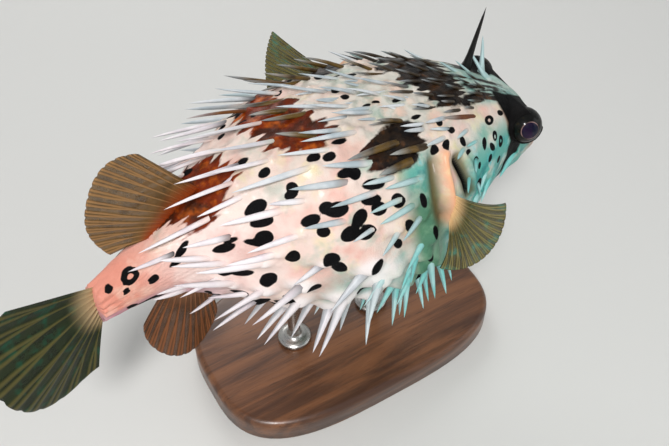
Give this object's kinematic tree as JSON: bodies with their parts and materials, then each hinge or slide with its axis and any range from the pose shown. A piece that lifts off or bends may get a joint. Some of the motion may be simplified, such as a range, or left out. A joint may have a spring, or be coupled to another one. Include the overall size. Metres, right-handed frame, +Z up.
{
  "type": "long-spine porcupinefish display model",
  "caption": "Life-size museum model of a long-spine porcupinefish with half-raised spines, on a walnut base with two steel rods",
  "frame": {"origin": "centre of the underside of the stand's base, on the floor", "axes": "X to the fish's head, Y to its left, Z up"},
  "size_m": [0.2035, 0.1099, 0.1307],
  "materials": {
    "skin": "satin, spotted",
    "fin": "satin, ribbed",
    "tail_fin": "satin, ribbed",
    "eye": "glossy",
    "tooth": "smooth",
    "walnut": "satin lacquer",
    "rod": "brushed"
  },
  "bodies": {
    "root": {"head": "skin", "trunk": "skin", "tail": "skin", "dorsal_fin": "fin", "anal_fin": "fin", "caudal_fin": "tail_fin", "pectoral_fin_left": "fin", "pectoral_fin_right": "fin", "eye_left": "eye", "eye_right": "eye", "beak_upper": "tooth", "beak_lower": "tooth", "stand_base": "walnut", "stand_rod_front": "rod", "stand_rod_rear": "rod"}
  },
  "joints": []
}
